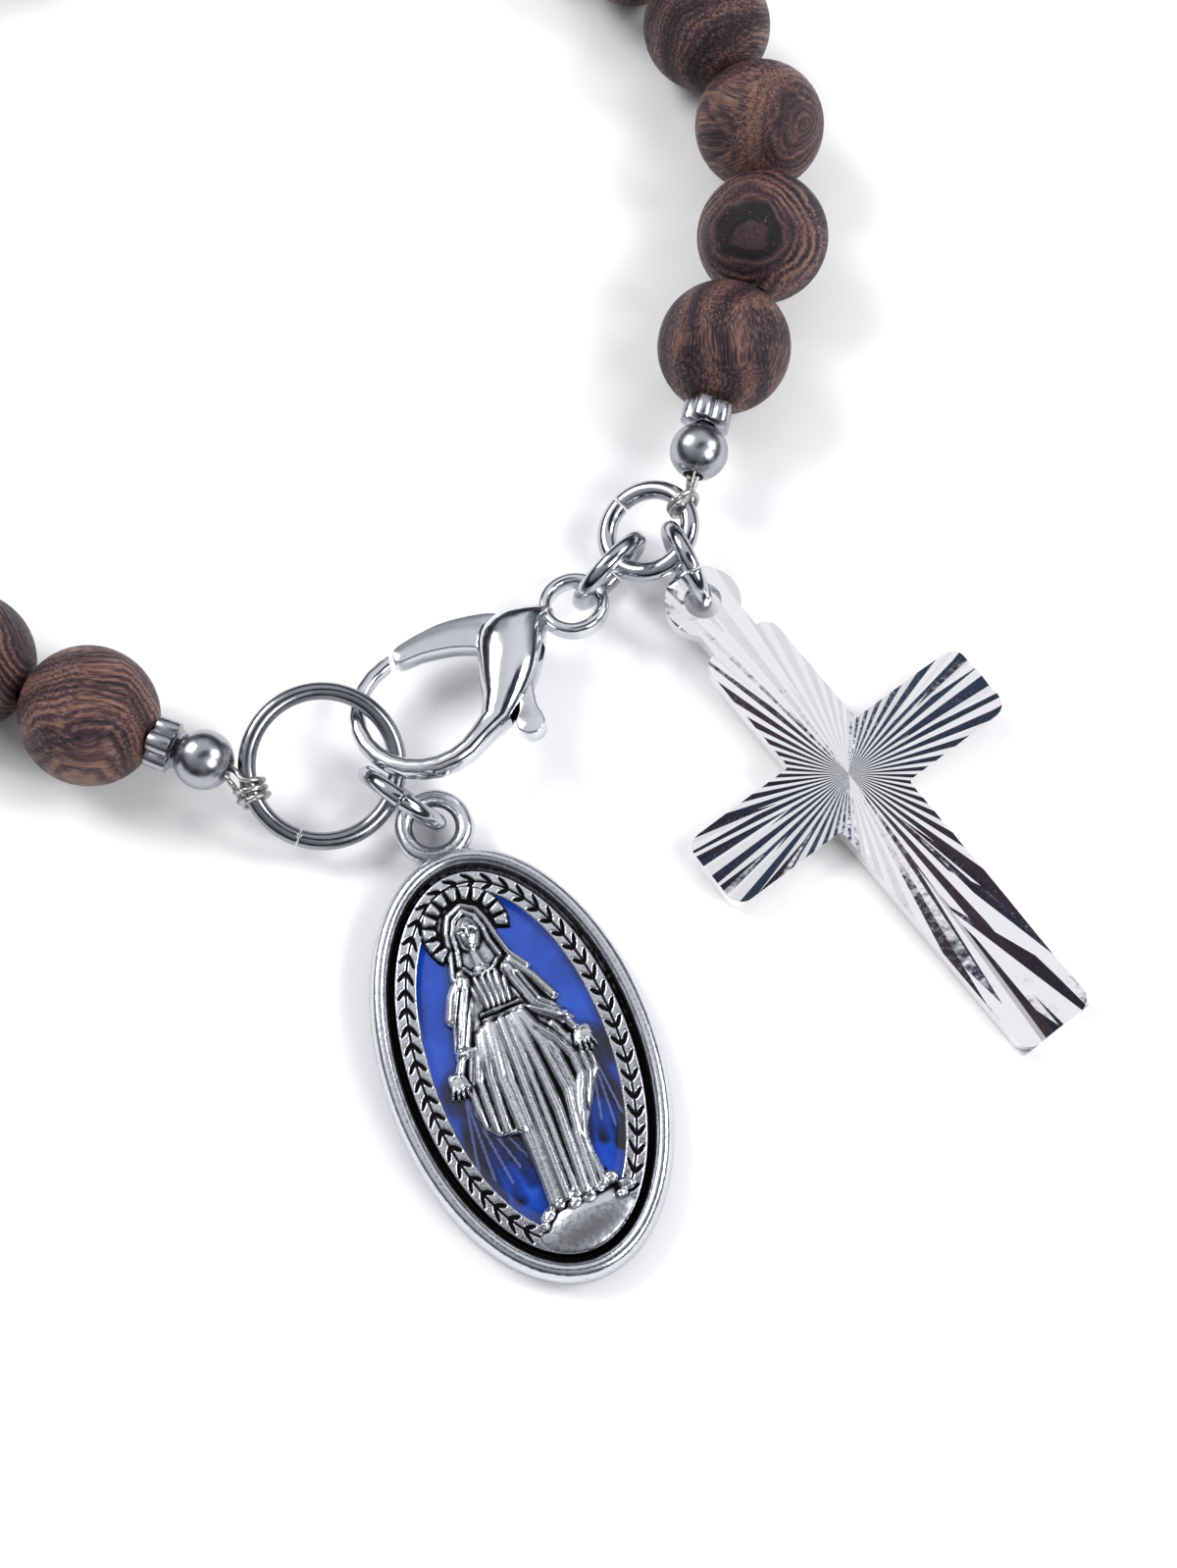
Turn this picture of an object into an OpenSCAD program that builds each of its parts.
// Rosary bracelet: drilled wooden beads on beading wire, closed by a lobster clasp on a large ring,
// with an oval enamelled medal and a diamond-cut cross on jump rings.
// The loop lies flat. X points right, Y away and Z up, and z = 0 is the surface it lies on.
// The origin is the centre of the loop's round stretch, where the wrist goes.

/* [Beads] */
// Diameter of a wooden bead
bead_d = 7.9; // [6:0.1:10]
// Number of beads on the wire
bead_count = 20; // [17:1:22]
// Bore through a bead
bead_bore_d = 1.3; // [1:0.1:1.5]
// Space left between neighbouring beads
bead_gap = 0.04; // [0.02:0.01:0.2]

/* [Wire and crimp covers] */
// Thickness of the beading wire
wire_d = 0.4; // [0.3:0.05:0.45]
// Diameter of the round crimp covers
ball_d = 3.4; // [3:0.1:4.5]
// Bore through a crimp cover
ball_bore_d = 1.2; // [1.1:0.1:1.5]
// Width of the seam where a crimp cover is folded shut
ball_seam = 0.12; // [0.08:0.01:0.2]
// Length of a lobed spacer along the wire
spacer_l = 1.3; // [1:0.1:2]
// Width of a lobed spacer over its lobes
spacer_d = 3; // [2.6:0.1:3.6]
// Bore through a spacer
spacer_bore_d = 1.2; // [1.1:0.1:1.5]
// Number of lobes round a spacer
spacer_lobes = 5; // [4:1:7]

/* [Rings and links] */
// Outer diameter of the large ring that the clasp closes on
big_ring_d = 9.4; // [9:0.1:10.5]
// Wire of the large ring
big_ring_wire = 1; // [0.8:0.05:1.2]
// Outer diameter of the small ring at the other end of the wire
small_ring_d = 6.2; // [6:0.1:7.5]
// Wire of the small ring
small_ring_wire = 1.1; // [0.9:0.05:1.2]
// Outer diameter of the link between clasp and small ring
clasp_link_d = 5.8; // [5.4:0.1:6.6]
// Outer diameter of the link that carries the cross
cross_link_d = 5.7; // [5.6:0.1:7]
// Outer diameter of the link that carries the medal
medal_link_d = 5.8; // [5.6:0.1:6.6]
// Wire of the three upright links
link_wire = 1; // [0.9:0.05:1.15]
// Width of the cut where a ring or link was closed
ring_cut = 0.12; // [0.06:0.02:0.2]

/* [Clasp] */
// Overall length of the lobster clasp
clasp_l = 16.4; // [15.5:0.1:18]
// Thickness of the clasp's body
clasp_t = 3.2; // [3:0.1:3.8]
// Thickness of the hook's wire at its thin end
hook_wire = 0.9; // [0.8:0.05:1.1]
// Outer diameter of the eye at the end of the clasp
eye_d = 4.1; // [4.1:0.1:4.6]
// Width of the eye's rim
eye_w = 0.7; // [0.6:0.05:0.9]
// Thickness of the eye's rim
eye_t = 1.2; // [0.9:0.05:1.3]
// Thickness of the spring lever
lever_t = 1.1; // [0.9:0.05:1.2]
// Diameter of the lever's pin
pin_d = 0.9; // [0.7:0.05:1]

/* [Medal] */
// Length of the oval medal without its bail
medal_l = 24.9; // [23:0.1:28]
// Width of the medal
medal_w = 15; // [14:0.1:17]
// Thickness of the medal at its rim
medal_t = 2; // [1.8:0.1:2.6]
// Width of the rounded rim
rim_w = 1.1; // [0.9:0.05:1.4]
// Width of the groove inside the rim
groove_w = 0.35; // [0.25:0.05:0.5]
// Width of the raised band round the picture
band_w = 1.25; // [1:0.05:1.6]
// Depth of the recess for the enamel below the band
recess = 0.55; // [0.4:0.05:0.7]
// Thickness of the enamel
enamel_t = 0.4; // [0.25:0.05:0.5]
// Height of the cast figure above the floor of the recess
figure_h = 1.25; // [0.9:0.05:1.4]
// Outer diameter of the medal's bail
medal_bail_d = 4.4; // [4.2:0.1:5]
// Wire of that bail
medal_bail_wire = 1; // [0.9:0.05:1.2]

/* [Cross] */
// Height of the cross without its bail
cross_h = 28.4; // [26:0.1:32]
// Width over both arms
cross_w = 19.7; // [18:0.1:22]
// Width of the upright
stem_w = 4.9; // [4:0.1:5.5]
// Width of the arms
arm_w = 4.7; // [4:0.1:5.5]
// Thickness of the plate
cross_t = 1; // [0.8:0.05:1.2]
// Radius of the plate's rounded corners
corner_r = 0.9; // [0.5:0.1:1.5]
// Diameter of the bail disc
cross_bail_d = 4.4; // [4.2:0.1:5]
// Hole in the bail disc
cross_hole_d = 2.2; // [2:0.1:2.4]
// Depth of the cuts that radiate over the plate
cut_depth = 0.14; // [0.08:0.02:0.3]

/* [Fit] */
// Free space between metal parts that hang on each other
link_gap = 0.1; // [0.06:0.01:0.15]
// Running clearance of the lever, round its pin and on each flat side
lever_clearance = 0.05; // [0.03:0.01:0.08]

/* [Hidden] */
$fn = 48;
floor_gap = 0.02;
up = [0, 0, 1];

function unit(v) = v / norm(v);
// Direction with plan heading a, counted from X towards Y, that climbs by rise degrees
function heading(a, rise = 0) = [cos(rise) * cos(a), cos(rise) * sin(a), sin(rise)];
// Unit vector in the plane with normal n that has the plan heading a
function along_plane(n, a) = unit([cos(a), sin(a), -(n[0] * cos(a) + n[1] * sin(a)) / n[2]]);
// Normal of a plane that climbs by slope degrees towards the plan heading a
function sloping(a, slope) = [-sin(slope) * cos(a), -sin(slope) * sin(a), cos(slope)];
// Rigid placement with local x along ex, local z along ez and the local origin at p
function placement(ex, ez, p) = let (ey = cross(ez, ex))
    [[ex[0], ey[0], ez[0], p[0]], [ex[1], ey[1], ez[1], p[1]], [ex[2], ey[2], ez[2], p[2]], [0, 0, 0, 1]];
// A local point [x, y, z] of such a placement, in the bracelet's frame
function placed(ex, ez, p, q) = p + q[0] * ex + q[1] * cross(ez, ex) + q[2] * ez;
// Radius of a ring's centre line from its outer diameter and its wire
function mid_r(outer_d, wire) = (outer_d - wire) / 2;

// Upright links: each stands on the surface, leans about the chain's direction, and holds two wires
// inside it. reach is how far a held wire stays from the link's centre.
function reach(r, wire, held) = r - wire / 2 - held / 2 - link_gap;
function stand(r, wire, lean) = r * cos(lean) + wire / 2 + floor_gap;
function link_up(go, lean) = cos(lean) * up + sin(lean) * cross(heading(go), up);
// Centre of a link that carries on from the wire at point a
function link_centre(a, go, lean, r, wire, reach_a) =
    let (climb = (stand(r, wire, lean) - a[2]) / cos(lean))
    a + sqrt(max(0.2, reach_a * reach_a - climb * climb)) * heading(go) + climb * link_up(go, lean);
// The point where the next wire lies in that link, drop degrees below its centre
function link_far(centre, go, lean, reach_b, drop) =
    centre + reach_b * (cos(drop) * heading(go) - sin(drop) * link_up(go, lean));

// Clasp and large ring. They pass through each other like two links of a chain that lie nearly flat,
// so the ring climbs to one side and the clasp falls to it.
big_r = mid_r(big_ring_d, big_ring_wire);
hook_r = 0.231 * clasp_l;
ring_from_hook = 211;
ring_side = ring_from_hook - 90;
ring_in_hook = 1.5;
hook_to_ring = big_r + hook_r - ring_in_hook;
to_crossing = (hook_to_ring * hook_to_ring + big_r * big_r - hook_r * hook_r) / (2 * hook_to_ring);
half_crossing = sqrt(big_r * big_r - to_crossing * to_crossing);
// The wires cross on a slope, which takes up a little of the lift between them
slope_allowance = 1.18;
crossing_slope = slope_allowance * (big_ring_wire / 2 + 0.52 * hook_wire + link_gap) / half_crossing;
ring_share = 0.68;
ring_up = sloping(ring_side, atan(ring_share * crossing_slope));
clasp_up = sloping(ring_side, -atan((1 - ring_share) * crossing_slope));

// Medal link on the large ring, which sets how high the ring and the clasp lie
medal_link_r = mid_r(medal_link_d, link_wire);
medal_link_at = -16;
medal_link_go = -36;
medal_link_lean = 16;
medal_link_sag = 46;
medal_bail_sag = 70;
medal_bail_go = -48;
medal_link_rise = stand(medal_link_r, link_wire, medal_link_lean)
    - reach(medal_link_r, link_wire, big_ring_wire) * sin(medal_link_sag) * cos(medal_link_lean);
chain_z = medal_link_rise - big_r * along_plane(ring_up, medal_link_at)[2];

hook_centre = [0, 0, chain_z];
ring_centre = hook_centre + hook_to_ring * heading(ring_from_hook);

// Medal
medal_bail_r = mid_r(medal_bail_d, medal_bail_wire);
medal_heading = 110.5;
medal_link_centre = link_centre(ring_centre + big_r * along_plane(ring_up, medal_link_at),
    medal_link_go, medal_link_lean, medal_link_r, link_wire, reach(medal_link_r, link_wire, big_ring_wire));
medal_bail_wire_at = link_far(medal_link_centre, medal_link_go, medal_link_lean,
    reach(medal_link_r, link_wire, medal_bail_wire), medal_bail_sag);
medal_bail_y = medal_l / 2 + medal_bail_r;
medal_slope = asin((medal_bail_wire_at[2] - medal_t / 2 - floor_gap) / (medal_l / 2 + medal_bail_y + medal_bail_r));
medal_up = sloping(medal_heading, medal_slope);
medal_right = along_plane(medal_up, medal_heading - 90);
medal_centre = medal_bail_wire_at + medal_bail_r * along_plane(medal_up, medal_bail_go)
    - medal_bail_y * along_plane(medal_up, medal_heading) - medal_t / 2 * medal_up;

// Clasp: its local x runs from the hook to the eye and its local y to the lever's side
clasp_heading = 31;
clasp_right = along_plane(clasp_up, clasp_heading);
eye_r = mid_r(eye_d, eye_w);
eye_size = norm([eye_w, eye_t]) * 0.72;
eye_at = [0.645 * clasp_l, 0.078 * clasp_l, 0];
eye_centre = placed(clasp_right, clasp_up, hook_centre, eye_at);

// Link from the clasp's eye to the small ring
clasp_link_r = mid_r(clasp_link_d, link_wire);
clasp_link_go = 47;
clasp_link_lean = 8;
clasp_link_sag = 38;
clasp_link_centre = link_centre(eye_centre + eye_r * along_plane(clasp_up, clasp_link_go),
    clasp_link_go, clasp_link_lean, clasp_link_r, link_wire, reach(clasp_link_r, link_wire, eye_size));
small_ring_wire_at = link_far(clasp_link_centre, clasp_link_go, clasp_link_lean,
    reach(clasp_link_r, link_wire, 1.1 * small_ring_wire), clasp_link_sag);
small_r = mid_r(small_ring_d, small_ring_wire);
small_ring_climb = 22;
small_ring_go = 47;
small_up = sloping(8, small_ring_climb);
small_centre = small_ring_wire_at + small_r * along_plane(small_up, small_ring_go);

// Link from the small ring to the cross
cross_link_r = mid_r(cross_link_d, link_wire);
cross_link_at = -42;
cross_link_go = -66;
cross_link_lean = 6;
cross_link_sag = 62;
cross_wall = sqrt(pow((cross_bail_d - cross_hole_d) / 2, 2) + cross_t * cross_t);
cross_link_centre = link_centre(small_centre + small_r * along_plane(small_up, cross_link_at),
    cross_link_go, cross_link_lean, cross_link_r, link_wire,
    reach(cross_link_r, link_wire, 1.4 * small_ring_wire));
cross_wall_at = link_far(cross_link_centre, cross_link_go, cross_link_lean,
    reach(cross_link_r, link_wire, cross_wall), cross_link_sag);
cross_wall_r = (cross_bail_d + cross_hole_d) / 4;
cross_heading = 127.6;
cross_top = 10.2;
cross_bail_y = cross_top + 3;
cross_slope = asin((cross_wall_at[2] - cross_t / 2 - floor_gap) / (cross_h - cross_top + cross_bail_y + cross_wall_r));
cross_up = sloping(cross_heading, cross_slope);
cross_right = along_plane(cross_up, cross_heading - 90);
cross_centre = cross_wall_at + cross_wall_r * along_plane(cross_up, cross_link_go)
    - cross_bail_y * along_plane(cross_up, cross_heading) - cross_t / 2 * cross_up;

// The wire is wound round each end ring and goes back into its crimp cover
left_wrap_at = 203;
left_wrap_turns = 2.75;
left_ball_go = 148;
right_wrap_at = 33;
right_wrap_turns = 1.75;
right_ball_go = 74;
left_wrap_to_ball = 3.2;
right_wrap_to_ball = 3.5;
wrap_gap = 0.08;
wrap_r_left = (big_ring_wire + wire_d) / 2 + link_gap + wrap_gap;
wrap_r_right = (small_ring_wire + wire_d) / 2 + link_gap + wrap_gap;
left_ball_climb = 14;
right_ball_climb = 0;
left_ball = ring_centre + big_r * along_plane(ring_up, left_wrap_at)
    + left_wrap_to_ball * heading(left_ball_go, left_ball_climb);
right_ball = small_centre + small_r * along_plane(small_up, right_wrap_at)
    + right_wrap_to_ball * heading(right_ball_go, right_ball_climb);

// Bead string. Neighbouring beads all but touch, and each is threaded along the mean of the two
// directions that meet in it.
bead_z = bead_d / 2;
pitch = bead_d + bead_gap;
end_gap = 0.05;
ball_to_bead = ball_d / 2 + end_gap + spacer_l + end_gap;
// Plan headings at the two ends, from the crimp cover to the first bead and on from bead to bead
left_string_go = 158;
left_goes = [155];
right_string_go = 77;
right_goes = [72, 90, 113];
function first_bead(ball, go) = let (climb = asin((bead_z - ball[2]) / (ball_to_bead + bead_z)))
    ball + (ball_to_bead + bead_z) * heading(go, climb);
function walk(from, goes) = [for (i = 0, p = from; i <= len(goes);
    p = i < len(goes) ? p + pitch * heading(goes[i]) : p, i = i + 1) p];
left_beads = walk(first_bead(left_ball, left_string_go), left_goes);
right_beads = walk(first_bead(right_ball, right_string_go), right_goes);
left_end = left_beads[len(left_beads) - 1];
right_end = right_beads[len(right_beads) - 1];
// The hidden stretch is a round arc that closes the loop: the turn from step to step is solved
round_steps = bead_count - len(left_beads) - len(right_beads) + 1;
round_chord = norm(right_end - left_end);
function arc_chord(turn) = pitch * sin(round_steps * turn / 2) / sin(turn / 2);
function solve_turn(low, high, rounds) = rounds == 0 ? (low + high) / 2
    : arc_chord((low + high) / 2) > round_chord ? solve_turn((low + high) / 2, high, rounds - 1)
    : solve_turn(low, (low + high) / 2, rounds - 1);
turn = solve_turn(0.01, 359 / round_steps, 30);
chord_go = atan2(right_end[1] - left_end[1], right_end[0] - left_end[0]);
round_goes = [for (i = [0:round_steps - 1]) chord_go + ((round_steps - 1) / 2 - i) * turn];
round_walk = walk(left_end, round_goes);
round_r = pitch / 2 / sin(turn / 2);
wrist_centre = let (mid = (left_end + right_end) / 2)
    [mid[0], mid[1], 0] - round_r * cos(round_steps * turn / 2) * heading(chord_go + 90);
// Centres of all beads, from the left crimp cover round to the right one
beads = concat(left_beads, [for (i = [1:round_steps - 1]) round_walk[i]],
    [for (i = [len(right_beads) - 1:-1:0]) right_beads[i]]);
left_go = unit(left_beads[0] - left_ball);
right_go = unit(right_beads[0] - right_ball);
// Direction of the thread through bead i
function step_go(i) = i < 0 ? left_go : i > bead_count - 2 ? -right_go : unit(beads[i + 1] - beads[i]);
function thread_go(i) = unit(step_go(i - 1) + step_go(i));

function at(p) = p - wrist_centre;
function two_digits(i) = str(i < 10 ? "0" : "", i);
bead_names = [for (i = [1:bead_count]) str("bead_", two_digits(i))];

// Closed skin over rings of points, each ring listed the same way round
function skin_faces(rings, sides) = concat(
    [for (i = [0:rings - 2], k = [0:sides - 1]) let (a = i * sides + k, b = i * sides + (k + 1) % sides)
        [a, b, b + sides, a + sides]],
    [[for (k = [sides - 1:-1:0]) k]],
    [[for (k = [0:sides - 1]) (rings - 1) * sides + k]]);
module skin(rings) {
    polyhedron(points = [for (r = rings, p = r) p], faces = skin_faces(len(rings), len(rings[0])), convexity = 6);
}

// A point on a smooth curve through the rows of a table, u rows along it
function row_at(rows, i) = rows[max(0, min(len(rows) - 1, i))];
function smooth_row(rows, u) = let (i = floor(u), t = u - i,
    a = row_at(rows, i - 1), b = row_at(rows, i), c = row_at(rows, i + 1), d = row_at(rows, i + 2))
    0.5 * (2 * b + (c - a) * t + (2 * a - 5 * b + 4 * c - d) * t * t + (3 * b - a - 3 * c + d) * t * t * t);
// A closed outline through hand-chosen points, with parts steps between neighbours
function closed_row(rows, i) = rows[(i + len(rows)) % len(rows)];
function smooth_outline(rows, parts) = [for (i = [0:len(rows) - 1], k = [0:parts - 1]) let (t = k / parts,
    a = closed_row(rows, i - 1), b = rows[i], c = closed_row(rows, i + 1), d = closed_row(rows, i + 2))
    0.5 * (2 * b + (c - a) * t + (2 * a - 5 * b + 4 * c - d) * t * t + (3 * b - a - 3 * c + d) * t * t * t)];

// A round wire bent to a ring, with the cut where it was closed at the angle cut_at
module wire_ring(r, wire, cut_at = 0) {
    cut = ring_cut / r * 180 / PI;
    rotate([0, 0, cut_at + cut / 2]) rotate_extrude(angle = 360 - cut) translate([r, 0]) circle(d = wire, $fn = 32);
}

module bead(i) {
    go = thread_go(i);
    color("saddlebrown") multmatrix(placement(unit(cross(up, go)), go, at(beads[i]))) difference() {
        sphere(d = bead_d, $fn = 64);
        cylinder(d = bead_bore_d, h = bead_d, center = true, $fn = 24);
    }
}

// Wire
function side_of(go) = unit(cross(go, up));
tail_offset = wire_d / 2 + 0.06;
wrap_pitch = wire_d + 0.08;
wrap_step = 33;
// Points wound round a ring's wire: from over its outer side inwards, and out below it
function wrap(centre, n, r, wound_r, at_heading, turns) = let (steps = round(turns * 360 / wrap_step))
    [for (i = [0:steps]) let (a = 60 + i * wrap_step, shift = (i / steps - 0.5) * turns * wrap_pitch,
        e = along_plane(n, at_heading + shift / r * 180 / PI))
        centre + (r + wound_r * cos(a)) * e + wound_r * sin(a) * n];
left_side = side_of(left_go);
right_side = side_of(right_go);
wire_reach = ball_d / 2 + 0.1;
wire_path = concat(
    [left_ball + tail_offset * left_side + 0.6 * left_go, left_ball + tail_offset * left_side - wire_reach * left_go],
    wrap(ring_centre, ring_up, big_r, wrap_r_left, left_wrap_at, left_wrap_turns),
    [left_ball - tail_offset * left_side - wire_reach * left_go, left_ball - tail_offset * left_side + 0.6 * left_go],
    [for (i = [0:bead_count - 1], t = [-0.4, 0.4]) beads[i] + t * bead_d * thread_go(i)],
    [right_ball - tail_offset * right_side + 0.6 * right_go,
        right_ball - tail_offset * right_side - wire_reach * right_go],
    wrap(small_centre, small_up, small_r, wrap_r_right, right_wrap_at, right_wrap_turns),
    [right_ball + tail_offset * right_side - wire_reach * right_go, right_ball + tail_offset * right_side + 0.6 * right_go]);
wire_sides = 6;
// Directions square to the path, carried along it without twist
function wire_go(i) = let (n = len(wire_path)) unit(wire_path[min(i + 1, n - 1)] - wire_path[max(i - 1, 0)]);
wire_across = [for (i = 0, v = unit(cross(wire_go(0), up)); i < len(wire_path);
    i = i + 1, v = i < len(wire_path) ? unit(v - (v * wire_go(i)) * wire_go(i)) : v) v];
module stringing_wire() {
    color("lightgray") skin([for (i = [0:len(wire_path) - 1]) let (v = wire_across[i], w = cross(wire_go(i), v))
        [for (k = [0:wire_sides - 1]) let (a = -360 * k / wire_sides)
            at(wire_path[i]) + wire_d / 2 * (cos(a) * v + sin(a) * w)]]);
}

module crimp_cover(centre, go) {
    color("silver") multmatrix(placement(side_of(go), go, at(centre)))
    difference() {
        sphere(d = ball_d, $fn = 48);
        cylinder(d = ball_bore_d, h = ball_d, center = true, $fn = 24);
        translate([0, ball_d / 2, 0]) cube([ball_seam, ball_d, ball_d], center = true);
    }
}

module spacer(centre, go) {
    lobe_d = 0.42 * spacer_d;
    middle = centre + (ball_d / 2 + end_gap + spacer_l / 2) * go;
    color("gainsboro") multmatrix(placement(side_of(go), go, at(middle))) difference() {
        union() {
            cylinder(d = spacer_d - lobe_d, h = spacer_l, center = true, $fn = 48);
            for (k = [0:spacer_lobes - 1]) rotate([0, 0, (k + 0.5) * 360 / spacer_lobes])
                translate([(spacer_d - lobe_d) / 2, 0, 0]) cylinder(d = lobe_d, h = spacer_l, center = true, $fn = 32);
        }
        cylinder(d = spacer_bore_d, h = 2 * spacer_l, center = true, $fn = 24);
    }
}

module big_ring() {
    color("silver") multmatrix(placement(along_plane(ring_up, 0), ring_up, at(ring_centre)))
        wire_ring(big_r, big_ring_wire, -105);
}

module small_ring() {
    color("silver") multmatrix(placement(along_plane(small_up, 0), small_up, at(small_centre)))
        wire_ring(small_r, small_ring_wire, 130);
}

// An upright link in the plane of its chain direction and its leaning up direction
module upright_link(centre, go, lean, r, cut_at) {
    color("silver") multmatrix(placement(heading(go), cross(heading(go), link_up(go, lean)), at(centre)))
        wire_ring(r, link_wire, cut_at);
}
module clasp_link() {
    upright_link(clasp_link_centre, clasp_link_go, clasp_link_lean, clasp_link_r, -70);
}
module cross_link() {
    upright_link(cross_link_centre, cross_link_go, cross_link_lean, cross_link_r, 60);
}
module medal_link() {
    upright_link(medal_link_centre, medal_link_go, medal_link_lean, medal_link_r, 75);
}

// Clasp, in shares of its length unless said otherwise, from the centre of its round hook
pivot = [0.378 * clasp_l, 0.07 * clasp_l];
gate_r = 0.414 * clasp_l;
lever_open = 25;
// Sections where the hook runs into the body: inner edge x and y, outer edge x and y, thickness share
body_rows = [
    [0.150, -0.136, 0.236, -0.210, 0.58],
    [0.190, -0.080, 0.318, -0.160, 0.74],
    [0.212, -0.018, 0.392, -0.106, 0.88],
    [0.236, 0.040, 0.446, -0.050, 0.97],
    [0.266, 0.110, 0.486, 0.000, 1.00],
    [0.318, 0.164, 0.512, 0.040, 0.97],
    [0.388, 0.178, 0.534, 0.064, 0.86],
    [0.458, 0.166, 0.548, 0.078, 0.70],
    [0.516, 0.140, 0.560, 0.086, 0.52],
    [0.552, 0.116, 0.572, 0.090, 0.38]];
// Outline of the lever, from the tip of its gate over the top to the tail and back below
lever_rows = [
    [0.020, 0.252], [0.080, 0.264], [0.142, 0.265], [0.200, 0.262], [0.262, 0.248], [0.330, 0.224],
    [0.392, 0.190], [0.428, 0.132], [0.430, 0.072], [0.418, 0.012], [0.395, -0.050], [0.372, -0.108],
    [0.350, -0.160], [0.332, -0.210], [0.330, -0.250], [0.322, -0.284], [0.292, -0.306], [0.254, -0.296],
    [0.232, -0.264], [0.240, -0.228], [0.268, -0.198], [0.286, -0.160], [0.300, -0.098], [0.316, -0.028],
    [0.312, 0.042], [0.286, 0.088], [0.240, 0.124], [0.184, 0.155], [0.097, 0.184], [0.010, 0.199]];
// The slot for the lever, open to the hook's inside and to the tail's side
slot_rows = [
    [0.150, 0.058], [0.272, 0.028], [0.282, -0.048], [0.262, -0.118], [0.230, -0.178], [0.230, -0.248],
    [0.480, -0.188], [0.520, -0.048], [0.476, -0.038], [0.466, 0.072], [0.458, 0.132], [0.430, 0.184],
    [0.400, 0.252], [0.200, 0.282]];

hook_sides = 14;
hook_tip = 84;
hook_root = 297;
hook_steps = 15;
// A section between an inner and an outer edge point: an oval, boxed a little by the power box
box = 0.8;
function boxed(x) = sign(x) * pow(abs(x), box);
function section(inner, outer, t) = [for (k = [0:hook_sides - 1]) let (a = 360 * k / hook_sides)
    [each (inner + outer) / 2 + boxed(cos(a)) * (outer - inner) / 2, boxed(sin(a)) * t / 2]];
// The hook's wire swells from its tip to its root
function hook_w(s) = hook_wire * (1 + 0.45 * pow(s, 2));
function hook_t(s) = hook_wire * (1 + 1.1 * pow(s, 3));
function hook_section(s) = let (a = hook_tip + s * (hook_root - hook_tip), w = hook_w(s), e = [cos(a), sin(a)])
    section((hook_r - w / 2) * e, (hook_r + w / 2) * e, hook_t(s));
function body_section(r) = section([r[0], r[1]] * clasp_l, [r[2], r[3]] * clasp_l, r[4] * clasp_t);

module clasp_solid() {
    skin(concat([for (i = [0:hook_steps]) hook_section(i / hook_steps)],
        [for (i = [0:2 * (len(body_rows) - 1)]) body_section(smooth_row(body_rows, i / 2))]));
}

module clasp_body() {
    slot_t = lever_t + 2 * lever_clearance;
    color("silver") multmatrix(placement(clasp_right, clasp_up, at(hook_centre))) union() {
        difference() {
            clasp_solid();
            linear_extrude(height = slot_t, center = true) polygon(slot_rows * clasp_l);
            intersection() {
                translate(pivot) cylinder(r = gate_r + link_gap, h = clasp_t, center = true, $fn = 128);
                translate([0.04 * clasp_l, 0.24 * clasp_l, 0]) cube([0.2 * clasp_l, 0.2 * clasp_l, clasp_t], center = true);
            }
        }
        translate(pivot) cylinder(d = pin_d, h = 0.9 * clasp_t, center = true, $fn = 32);
        translate(eye_at) rotate_extrude($fn = 64) translate([eye_r, 0]) {
            square([eye_w, eye_t - eye_w], center = true);
            for (y = [-1, 1]) translate([0, y * (eye_t - eye_w) / 2]) circle(d = eye_w, $fn = 32);
        }
    }
}

module clasp_lever() {
    color("gainsboro") multmatrix(placement(clasp_right, clasp_up, at(hook_centre)))
    difference() {
        linear_extrude(height = lever_t, center = true) intersection() {
            polygon(smooth_outline(lever_rows * clasp_l, 3));
            translate(pivot) circle(r = gate_r, $fn = 128);
        }
        translate(pivot) cylinder(d = pin_d + 2 * lever_clearance, h = 2 * lever_t, center = true, $fn = 32);
    }
}

// Medal
oval_sides = 64;
function oval(inset, z) = [for (k = [0:oval_sides - 1]) let (a = -360 * k / oval_sides)
    [(medal_w / 2 - inset) * cos(a), (medal_l / 2 - inset) * sin(a), z]];
band_in = rim_w + groove_w + band_w;
band_z = medal_t - 0.35;
floor_z = band_z - recess;
// The cast figure on its mound: y in shares of medal_l, left and right edge in shares of medal_w, height share
figure_rows = [
    [0.372, -0.075, -0.020, 0.35],
    [0.352, -0.118, 0.030, 0.70],
    [0.316, -0.140, 0.048, 0.92],
    [0.272, -0.130, 0.055, 0.86],
    [0.246, -0.122, 0.085, 0.70],
    [0.222, -0.170, 0.140, 0.72],
    [0.176, -0.214, 0.186, 0.80],
    [0.126, -0.214, 0.212, 0.84],
    [0.076, -0.206, 0.236, 0.84],
    [0.030, -0.232, 0.262, 0.84],
    [-0.012, -0.262, 0.276, 0.80],
    [-0.062, -0.232, 0.274, 0.78],
    [-0.118, -0.196, 0.252, 0.78],
    [-0.174, -0.150, 0.206, 0.80],
    [-0.232, -0.112, 0.166, 0.80],
    [-0.286, -0.090, 0.150, 0.76],
    [-0.322, -0.150, 0.190, 0.70],
    [-0.352, -0.180, 0.205, 0.62],
    [-0.374, -0.160, 0.190, 0.50],
    [-0.388, -0.110, 0.140, 0.35]];
figure_curve = [for (i = [0:2 * (len(figure_rows) - 1)]) smooth_row(figure_rows, i / 2)];
figure_top = 9;
fold_count = 7;
fold_depth = 0.09;
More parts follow.
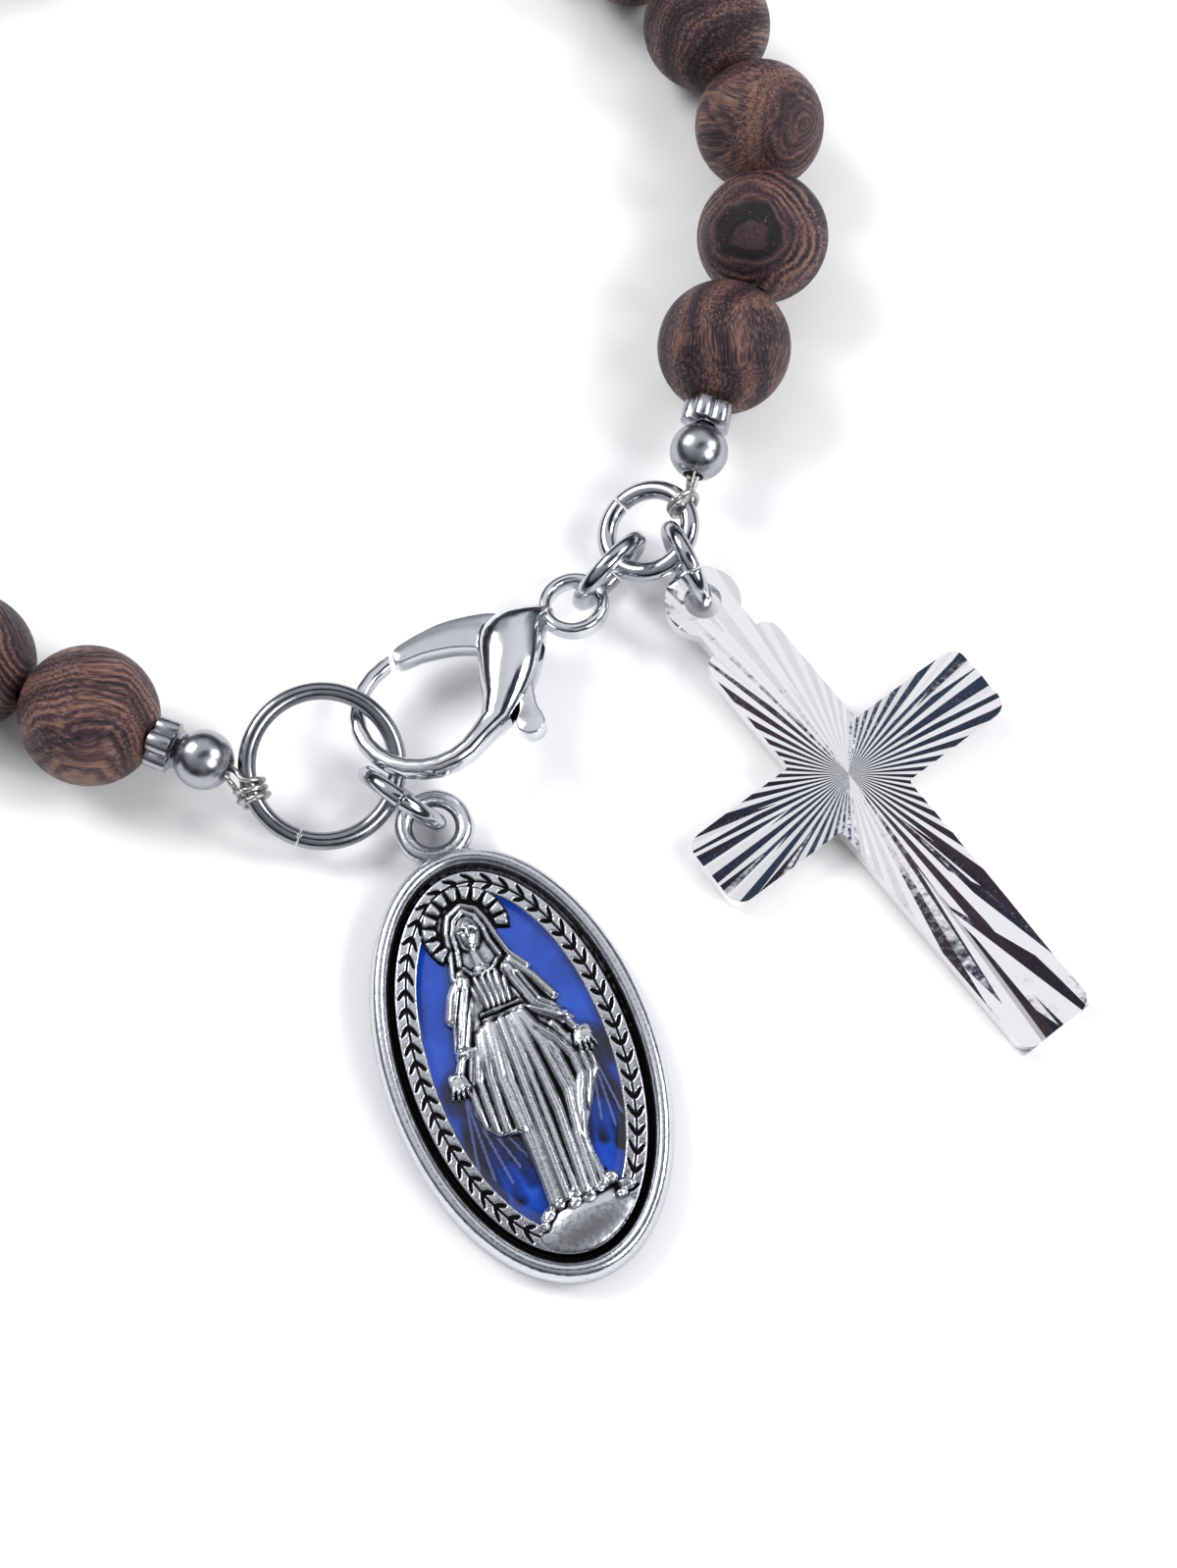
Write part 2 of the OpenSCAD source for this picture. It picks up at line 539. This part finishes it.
// One row of the figure: its rounded front between the two edges, with folds below the belt
function figure_ring(r) = let (y = r[0] * medal_l, x0 = r[1] * medal_w, x1 = r[2] * medal_w,
    folds = r[0] < 0.09 && r[0] > -0.30 ? fold_depth : 0)
    concat([for (k = [0:figure_top]) let (t = k / figure_top)
        [x0 + t * (x1 - x0), y, floor_z + figure_h * r[3] * (0.55 + 0.45 * sin(180 * t)) + folds * cos(fold_count * 360 * t)]],
        [[x1, y, floor_z - 0.2], [x0, y, floor_z - 0.2]]);
module figure() {
    skin([for (r = figure_curve) figure_ring(r)]);
}

halo_rays = 12;
halo_r = [0.125, 0.168];
halo_at = [-0.047 * medal_w, 0.312 * medal_l];
// Short rays that fan out round the head
module halo() {
    for (k = [0:halo_rays - 1]) rotate([0, 0, -25 + k * 230 / (halo_rays - 1)])
        translate([0, 0, floor_z - 0.2]) linear_extrude(height = 0.2 + recess)
            polygon([[halo_r[0] * medal_w, -0.11], [halo_r[1] * medal_w, -0.21],
                [halo_r[1] * medal_w, 0.21], [halo_r[0] * medal_w, 0.11]]);
}

module medal() {
    color("silver") multmatrix(placement(medal_right, medal_up, at(medal_centre))) union() {
        difference() {
            skin([oval(0.35, 0), oval(0.08, 0.25), oval(0, 0.55 * medal_t), oval(0.12, 0.82 * medal_t),
                oval(0.3 * rim_w, medal_t), oval(0.75 * rim_w, 0.97 * medal_t), oval(rim_w, band_z - 0.1),
                oval(rim_w + 0.08, floor_z + 0.1), oval(rim_w + groove_w - 0.08, floor_z + 0.1),
                oval(rim_w + groove_w, band_z)]);
            translate([0, 0, floor_z]) linear_extrude(height = medal_t) polygon([for (p = oval(band_in, 0)) [p[0], p[1]]]);
        }
        translate([0, medal_bail_y, medal_t / 2]) rotate_extrude($fn = 64)
            translate([medal_bail_r, 0]) circle(d = medal_bail_wire, $fn = 32);
        figure();
        translate(halo_at) halo();
    }
}

// Enamel fills the recess on each side of the figure
enamel_gap = 0.06;
field_w = medal_w / 2 - band_in;
field_l = medal_l / 2 - band_in;
function field_x(y) = (field_w - enamel_gap) * sqrt(max(0, 1 - pow(y / (field_l - enamel_gap), 2)));
module enamel_field(side, edge) {
    rows = [for (r = figure_curve) if (r[0] < 0.24 && r[0] > -0.36)
        [side * r[edge] * medal_w + 2 * enamel_gap, r[0] * medal_l]];
    kept = [for (r = rows) if (r[0] < field_x(r[1]) - 0.3) r];
    last = kept[len(kept) - 1];
    top = kept[0];
    steps = 16;
    translate([0, 0, floor_z + 0.02]) linear_extrude(height = enamel_t)
        polygon([for (p = concat(kept, [for (k = [0:steps]) let (y = last[1] + k / steps * (top[1] - last[1]))
            [field_x(y), y]])) [side * p[0], p[1]]]);
}
module enamel_left() {
    color("mediumblue") multmatrix(placement(medal_right, medal_up, at(medal_centre))) enamel_field(-1, 1);
}
module enamel_right() {
    color("mediumblue") multmatrix(placement(medal_right, medal_up, at(medal_centre))) enamel_field(1, 2);
}

// Cross
module rounded_bar(w, y0, y1) {
    x = w / 2 - corner_r;
    translate([-w / 2, y0 + corner_r]) square([w, y1 - y0 - 2 * corner_r]);
    translate([-x, y0]) square([2 * x, y1 - y0]);
    for (sx = [-1, 1], y = [y0 + corner_r, y1 - corner_r]) translate([sx * x, y]) circle(r = corner_r, $fn = 32);
}
module cross_outline() {
    rounded_bar(stem_w, cross_top - cross_h, cross_top);
    rotate([0, 0, 90]) rounded_bar(arm_w, -cross_w / 2, cross_w / 2);
    neck_w = 0.62 * stem_w;
    translate([-neck_w / 2, cross_top - corner_r]) square([neck_w, cross_bail_y - cross_top]);
    translate([0, cross_bail_y]) circle(d = cross_bail_d, $fn = 64);
}
cut_count = 24;
cut_from = 1.6;
// Shallow cuts with a V section that widen away from the middle
module radiating_cuts() {
    for (k = [0:cut_count - 1]) rotate([0, 0, (k + 0.5) * 360 / cut_count])
        translate([cut_from, 0, cross_t]) rotate([0, 90, 0]) linear_extrude(height = cross_h)
            polygon([[cut_depth, 0], [-cut_depth, 2 * cut_depth], [-cut_depth, -2 * cut_depth]]);
}
module cross_pendant() {
    color("gainsboro") multmatrix(placement(cross_right, cross_up, at(cross_centre)))
    difference() {
        linear_extrude(height = cross_t) difference() {
            cross_outline();
            translate([0, cross_bail_y]) circle(d = cross_hole_d, $fn = 48);
        }
        radiating_cuts();
    }
}

for (i = [0:bead_count - 1]) bead(i);
stringing_wire();
crimp_cover(left_ball, left_go);  // crimp_cover_left
crimp_cover(right_ball, right_go);  // crimp_cover_right
spacer(left_ball, left_go);  // spacer_left
spacer(right_ball, right_go);  // spacer_right
big_ring();
small_ring();
clasp_body();
clasp_lever();
clasp_link();
cross_link();
medal_link();
medal();
enamel_left();
enamel_right();
cross_pendant();
